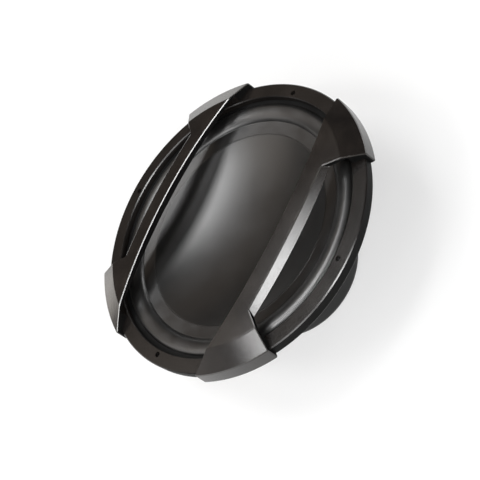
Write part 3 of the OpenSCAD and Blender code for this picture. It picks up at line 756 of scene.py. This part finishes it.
def bar_under(r):
    """Height of a bar's lowest face: the underside, the foot on the ring, and the skirt."""
    return BAR_BOTTOM if r < FOOT_R else TRIM_TOP if r < SKIRT_R else LUG_BOTTOM


def bar_plan(low):
    """Plan outline of the right bar, at its top edge, or at its lowest edge where low is 1."""
    lug_r = LUG_R + LUG_DRAFT * low
    edge_x = BAR_INNER_X - BAR_PLAN_R

    def inner_y(r):
        """Y at which the inner edge reaches a radius."""
        x = (edge_x**2 - BAR_PLAN_R**2 + r * r) / (2 * edge_x)
        return math.sqrt(r * r - x * x)

    def inner(y):
        """Point of the inner edge."""
        return edge_x + math.sqrt(BAR_PLAN_R**2 - y * y), y

    def outer(y):
        """Point of the outer edge; a few rounds settle it, because it leans out below the top."""
        x = BAR_INNER_X + BAR_TOP_W
        for _ in range(4):
            z = BAR_BOTTOM if low else bar_top(math.hypot(x, y))
            wide = BAR_PLAN_R + BAR_FLARE * (BAR_BOTTOM + BAR_T - z) / BAR_T
            x = edge_x + BAR_TOP_W + math.sqrt(wide**2 - y * y)
        return x, y

    def ray(r, side):
        """Point of a lug's end at a radius."""
        return r * math.cos(LUG_START), side * r * math.sin(LUG_START)

    # From a first guess, repeated tries settle where the outer edge meets the ray of the lug's end
    join_y = 75.0
    for _ in range(8):
        join_y = outer(join_y)[0] * math.tan(LUG_START)
    join_r = join_y / math.sin(LUG_START)
    tip_y = inner_y(lug_r)
    tip_angle = math.degrees(math.atan2(tip_y, inner(tip_y)[0]))
    start_clear, tip_clear = LUG_ARC_CLEAR
    arc_ends = (math.degrees(LUG_START) + start_clear, tip_angle - tip_clear)

    marks = [inner_y(r) for r in BAR_STEPS + FOLD_RINGS]
    even = np.linspace(-INNER_REACH, INNER_REACH, INNER_POINTS)
    rows = sorted({*marks, *(-m for m in marks), *even}, reverse=True)
    lug_end = np.linspace(join_r + CORNER_CLEAR, LUG_R - 1, LUG_END_POINTS)
    reaches = sorted({*BAR_STEPS, *FOLD_RINGS, *lug_end})
    lug_arc = arc((0, 0), lug_r, *arc_ends, LUG_ARC_STEPS)
    outer_rows = np.linspace(-join_y + CORNER_CLEAR, join_y - CORNER_CLEAR, OUTER_POINTS)
    return [
        (*inner(tip_y), CORNER_ROUND), *(inner(y) for y in rows), (*inner(-tip_y), CORNER_ROUND),
        *((x, -y) for x, y in reversed(lug_arc)), (*ray(lug_r, -1), CORNER_ROUND),
        *(ray(r, -1) for r in reversed(reaches)), (*ray(join_r, -1), CORNER_ROUND),
        *(outer(y) for y in outer_rows), (*ray(join_r, 1), CORNER_ROUND),
        *(ray(r, 1) for r in reaches), (*ray(lug_r, 1), CORNER_ROUND), *lug_arc,
    ]


def crease(loop, radius, height):
    """Points between the two ends of each lug at a radius, and the loop points that they join."""
    lug_apart = 20
    rims = []
    for side in (-1, 1):
        near = [i for i in np.argsort(abs(np.hypot(*loop[:, :2].T) - radius)) if loop[i][1] * side > 0]
        first = near[0]
        ends = [first, next(i for i in near if np.linalg.norm(loop[i][:2] - loop[first][:2]) > lug_apart)]
        angles = [math.atan2(loop[i][1], loop[i][0]) for i in ends]
        between = np.linspace(*angles, FOLD_POINTS + 2)[1:-1]
        z = height(radius)
        rims.append((ends, [(radius * math.cos(a), radius * math.sin(a), z) for a in between]))
    return rims


def fill(points, loop, radii, height):
    """Triangles across a loop of point numbers, with edges along a ring at each radius."""
    inside_only = 1
    merge_gap = 1e-6
    spots = [points[i] for i in loop]
    numbers = list(loop)
    edges = []
    flat_loop = np.array(spots)
    for radius in radii:
        for ends, between in crease(flat_loop, radius, height):
            first = len(spots)
            spots += between
            numbers += range(len(points), len(points) + len(between))
            points += between
            chain = [ends[0], *range(first, first + len(between)), ends[1]]
            edges += list(zip(chain, chain[1:]))
    flat_points = [Vector(s[:2]) for s in spots]
    border = list(range(len(loop)))
    result = geometry.delaunay_2d_cdt(flat_points, edges, [border], inside_only, merge_gap)
    origin = [o[0] for o in result[3]]
    return [tuple(numbers[origin[v]] for v in f) for f in result[2]]


def outwardness(face):
    """Cosine between a face's normal and the direction away from the axis."""
    return face.normal.dot(Vector((*face.center[:2], 0)).normalized())


def guard_bar(name, turn, node):
    """Bar with rounded top edges, folded lugs, feet and skirts; turn is about Z in degrees."""
    plan, plan_normals = rounded(bar_plan(0))
    floor_plan, _ = rounded(bar_plan(1))
    n = len(plan)
    rims, rim_normals = [], []
    for p, side, under in zip(plan, plan_normals, floor_plan):
        top = np.array((*p, bar_top(math.hypot(*p))))
        foot = np.array((*under, bar_under(math.hypot(*under))))
        up = bar_top_normal(*p)
        along = unit(np.cross(up, (*side, 0)))
        fall = foot - top
        down = unit(fall - along * (fall @ along))
        start, end = top + np.cross(up, along) * EDGE_CHAMFER, top + down * EDGE_CHAMFER
        wall = np.cross(down, along)
        bevel = unit(up + BEVEL_LEAN * wall)
        inset = (end - start) * BEVEL_EDGE
        rims.append([start, start + inset, end - inset, end, foot])
        rim_normals.append([up, bevel, bevel, wall, wall])
    rows = len(rims[0])
    points = [tuple(rims[i][k]) for k in range(rows) for i in range(n)]
    normals = [tuple(rim_normals[i][k]) for k in range(rows) for i in range(n)]
    faces = [
        (k * n + i, (k + 1) * n + i, (k + 1) * n + (i + 1) % n, k * n + (i + 1) % n)
        for k in range(rows - 1) for i in range(n)
    ]
    top_faces = fill(points, range(n), FOLD_RINGS, bar_top)
    normals += [tuple(bar_top_normal(p[0], p[1])) for p in points[len(normals):]]
    under_faces = fill(points, range((rows - 1) * n, rows * n), BAR_STEPS, bar_under)
    normals += [(0, 0, -1)] * (len(points) - len(normals))
    bar = make_piece(name, points, normals, faces + top_faces, [f[::-1] for f in under_faces])
    bar.rotation_euler.z = math.radians(turn)
    dress(bar, "bar_plastic")
    bevels, walls = range(n, 2 * n), range((rows - 2) * n, (rows - 1) * n)
    # Edge bevels get a lighter, glossier plastic, a painted highlight; walls that look outward by less
    # than the limit get the painted shade
    refinish(bar, EDGE_HIGHLIGHT_FINISH, bevels)
    refinish(bar, SHADED_WALL_FINISH, [i for i in walls if outwardness(bar.data.polygons[i]) < SHADED_WALL_LIMIT])
    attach(bar, "frame")
    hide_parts(node)


def dished_cap():
    """Satin dish whose bowl starts at its seam with the surround, on a seat on the cone."""
    sphere = (BOWL_R**2 + BOWL_DEPTH**2) / (2 * BOWL_DEPTH)
    centre = DISH_TOP - BOWL_DEPTH + sphere
    half = math.asin(BOWL_R / sphere)

    def bowl(radius, start, end, count):
        """Path of (r, z) points on a sphere about the bowl's centre."""
        angles = np.linspace(start, end, count)
        return [(radius * math.sin(a), centre - radius * math.cos(a)) for a in angles]

    under = bowl(sphere + DISH_T, BOWL_AXIS_GAP, half - BOWL_EDGE_GAP, UNDER_BOWL_POINTS)
    over = bowl(sphere, half, BOWL_AXIS_GAP, BOWL_POINTS)
    dish = lathe("dished_cap_shell", [
        *under, (DISH_SEAT_R, DISH_UNDER, SEAT_ROUND), (DISH_R, DISH_UNDER, DISH_ROUND),
        (DISH_R, RIM_TOP, RIM_ROUND), (*over[0], BOWL_ROUND), *over[1:],
    ], capped=True)
    dress(dish, "cap_plastic")
    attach(dish, "moving_cone")
    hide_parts("dished_cap")


# Soft parts

def sectors(name, outline, count, slot, node, steps):
    """Ring of moulded sectors, each revolved from the outline over its share of the turn."""
    width = 360 / count
    for i in range(count):
        piece = lathe(f"{name}_{i + 1:02d}", outline, (i - 0.5) * width, (i + 0.5) * width, steps)
        dress(piece, slot)
        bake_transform(piece)
        if i == 0:
            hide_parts(node)


def surround():
    """Rubber half roll between a flat outer edge and the sloping land that is glued to the cone."""
    inner_foot, outer_foot = ROLL_FEET
    edge_under = EDGE_TOP - EDGE_T

    def roll(inset, height, start, steps):
        """Path over the crest, from an angle on the inner side to a height on the outer side."""
        rise = ROLL_H - inset
        end = math.degrees(math.asin((height - ROLL_BASE) / rise))
        path = []
        for x, y in arc((0, 0), 1, start, end, steps):
            half = (outer_foot - ROLL_CREST if x > 0 else ROLL_CREST - inner_foot) - inset
            path.append((ROLL_CREST + half * x, ROLL_BASE + rise * y))
        return path

    under_roll = roll(SURROUND_T, edge_under, UNDER_ROLL_START, UNDER_ROLL_STEPS)
    over_roll = roll(0, EDGE_TOP, ROLL_START, ROLL_STEPS)
    sectors("surround_roll", [
        (LAND_R, LAND_UNDER, SURROUND_ROUND), (inner_foot + SURROUND_T, LAND_UNDER, SURROUND_ROUND),
        *under_roll[:-1], (*under_roll[-1], UNDER_ROLL_ROUND),
        (EDGE_R, edge_under, SURROUND_ROUND), (EDGE_R, EDGE_TOP, SURROUND_ROUND),
        (*over_roll[-1], ROLL_EDGE_ROUND), *reversed(over_roll[1:-2]),
        (*over_roll[0], ROLL_FOOT_ROUND), (LAND_R, RIM_TOP, RIM_ROUND),
    ], SURROUND_SECTORS, "surround_rubber", "surround", SURROUND_STEPS)


def spider():
    """Corrugated cloth disc between its collar on the coil former and its flat edge on the basket."""
    low_r, high_r, low_z, high_z = SPIDER_COLLAR
    rolls_end = ROLLS_START + 2 * ROLL_HALF * ROLLS

    def wave(side):
        """Path along the corrugations, half the cloth's thickness above or below its middle."""
        path = []
        for r in np.linspace(ROLLS_START, rolls_end, POINTS_PER_ROLL * ROLLS + 1)[1:-1]:
            phase = math.pi * (r - ROLLS_START) / (2 * ROLL_HALF)
            slope = ROLL_HALF * math.cos(phase) * math.pi / (2 * ROLL_HALF)
            across = unit((-slope, 1)) * side * SPIDER_T / 2
            path.append((r + across[0], SPIDER_Z + ROLL_HALF * math.sin(phase) + across[1]))
        return path

    top, bottom = SPIDER_Z + SPIDER_T / 2, SPIDER_Z - SPIDER_T / 2
    sectors("spider_cloth", [
        (low_r, low_z, SPIDER_ROUND), (high_r, low_z, SPIDER_ROUND),
        (high_r, bottom, COLLAR_FOOT_ROUND), *wave(-1),
        (SPIDER_R, bottom, SPIDER_ROUND), (SPIDER_R, top, SPIDER_ROUND), *reversed(wave(1)),
        (high_r, top, COLLAR_FOOT_ROUND), (high_r, high_z, SPIDER_ROUND), (low_r, high_z, SPIDER_ROUND),
    ], SPIDER_SECTORS, "spider_cloth", "spider", SPIDER_STEPS)


def lead(name, side, node):
    """Stranded lead that hangs between its contact tab and its eyelet on the cone."""
    route = [np.array((x, side * y, z)) for x, y, z in smooth_route(LEAD_ROUTE, POINTS_PER_LEG)]
    piece = tube(name, route, LEAD_R, sides=LEAD_SIDES, strands=LEAD_STRANDS, twist=LEAD_TWIST)
    dress(piece, "lead_braid")
    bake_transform(piece)
    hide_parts(node)


def spring(name, side, node):
    """Open coil round a terminal post."""
    low, high = SPRING_Z
    share = np.linspace(0, 1, POINTS_PER_TURN * SPRING_TURNS + 1)
    angle = 2 * math.pi * SPRING_TURNS * share
    route = np.stack([
        POST_X - SPRING_R * np.cos(angle), side * POST_Y - SPRING_R * np.sin(angle),
        low + (high - low) * share,
    ], axis=1)
    piece = tube(name, list(route), SPRING_WIRE_R)
    dress(piece, "spring_steel")
    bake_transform(piece)
    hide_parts(node)


def dress_nodes():
    """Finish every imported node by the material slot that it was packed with."""
    for node in NODES.values():
        slot = node.data.materials[0].name.split(".")[0]
        node.data.materials[0] = FINISHES[slot]


# Studio

def floor_paint():
    """Matt paint with a glow that only the camera and reflections see, fuller far from the part."""
    material = bpy.data.materials.new("floor_white")
    material.use_nodes = True
    material.node_tree.nodes.clear()
    paint = add_node(material, "ShaderNodeBsdfDiffuse", [("Color", FLOOR_PAINT)])
    path = add_node(material, "ShaderNodeLightPath").outputs
    seen = math_of(material, "ADD", path["Is Camera Ray"], path["Is Glossy Ray"])
    seen = math_of(material, "ADD", seen, path["Is Transmission Ray"])
    seen = math_of(material, "MINIMUM", seen, 1.0)
    far = add_node(material, "ShaderNodeVectorMath", [(0, place(material))], operation="LENGTH")
    level = remap(material, far.outputs["Value"], NEAR_GLOW, 1.0, *GLOW_FADE)
    strength = math_of(material, "MULTIPLY", seen, level)
    glow = add_node(material, "ShaderNodeEmission", [("Strength", strength)])
    both = add_node(material, "ShaderNodeAddShader", [(0, paint.outputs[0]), (1, glow.outputs[0])])
    add_node(material, "ShaderNodeOutputMaterial", [("Surface", both.outputs[0])])
    return material


def floor():
    """Large white floor under the boot, which keeps the shadow and shows white to the camera."""
    z = CAD_BOX[0][2]
    square = [(-FLOOR_REACH, -FLOOR_REACH, z), (FLOOR_REACH, -FLOOR_REACH, z),
              (FLOOR_REACH, FLOOR_REACH, z), (-FLOOR_REACH, FLOOR_REACH, z)]
    mesh = bpy.data.meshes.new("floor")
    mesh.from_pydata(square, [], [(0, 1, 2, 3)])
    ground = bpy.data.objects.new("floor", mesh)
    bpy.context.scene.collection.objects.link(ground)
    mesh.materials.append(floor_paint())


def world():
    """White walls round the studio and a dimmer ceiling."""
    sky = bpy.data.worlds.new("studio")
    sky.use_nodes = True
    bpy.context.scene.world = sky
    direction = add_node(sky, "ShaderNodeTexCoord").outputs["Generated"]
    height = add_node(sky, "ShaderNodeSeparateXYZ", [(0, direction)]).outputs["Z"]
    fade = add_node(sky, "ShaderNodeValToRGB", [(0, height)])
    walls, ceiling = fade.color_ramp.elements
    walls.position, walls.color = WALLS_TOP, (1, 1, 1, 1)
    ceiling.position, ceiling.color = CEILING_START, (CEILING, CEILING, CEILING, 1)
    sky.node_tree.links.new(fade.outputs[0], sky.node_tree.nodes["Background"].inputs["Color"])


def softbox(name, direction, width, height, radiance, colour):
    """Rectangular lamp that faces the part from a direction, with its height along Y."""
    lamp = bpy.data.lights.new(name, "AREA")
    lamp.color = colour
    lamp.shape = "RECTANGLE"
    lamp.size, lamp.size_y = width, height
    lamp.energy = radiance * math.pi * width * height
    holder = bpy.data.objects.new(name, lamp)
    bpy.context.scene.collection.objects.link(holder)
    away = Vector(direction).normalized()
    across = Vector((0, 1, 0)).cross(away).normalized()
    turn = Matrix((across, away.cross(across), away)).transposed()
    holder.matrix_world = Matrix.Translation(away * LAMP_DISTANCE) @ turn.to_4x4()
    holder.visible_camera = False


def camera():
    """Camera at the photograph's place and angle."""
    lens = bpy.data.cameras.new("camera")
    lens.lens = CAMERA_LENS
    holder = bpy.data.objects.new("camera", lens)
    bpy.context.scene.collection.objects.link(holder)
    holder.matrix_world = Matrix.Translation(CAMERA_PLACE) @ Matrix(CAMERA_AXES).transposed().to_4x4()
    bpy.context.scene.camera = holder


FINISHES = make_finishes()
# Darker, near-unreflecting copy of the plastics for walls: painted shade
SHADED_WALL_FINISH = moulded_plastic(
    "wall_painted_shade", (0.004, 0.004, 0.004), (0.011, 0.0105, 0.01), 0.5, depth=0.03, gloss=0.05)
# Lighter copy of the bar plastic for the edge bevels: a painted highlight in its colour, together with
# more gloss
EDGE_HIGHLIGHT_FINISH = moulded_plastic(
    "bar_edge_painted_highlight", (0.02, 0.018, 0.016), (0.05, 0.045, 0.04), 0.2, depth=0.01, gloss=1.0)
camera()
dress_nodes()
trim_ring()
guard_bar("guard_bar_right_moulding", 0, "guard_bar_right")
guard_bar("guard_bar_left_moulding", 180, "guard_bar_left")
dished_cap()
surround()
spider()
lead("positive_lead_braid", -1, "positive_lead")
lead("negative_lead_braid", 1, "negative_lead")
spring("positive_spring_coil", -1, "positive_spring")
spring("negative_spring_coil", 1, "negative_spring")
floor()
world()
for lamp_name, lamp in LAMPS.items():
    softbox(lamp_name, *lamp)
bpy.context.scene.view_settings.view_transform = "Standard"
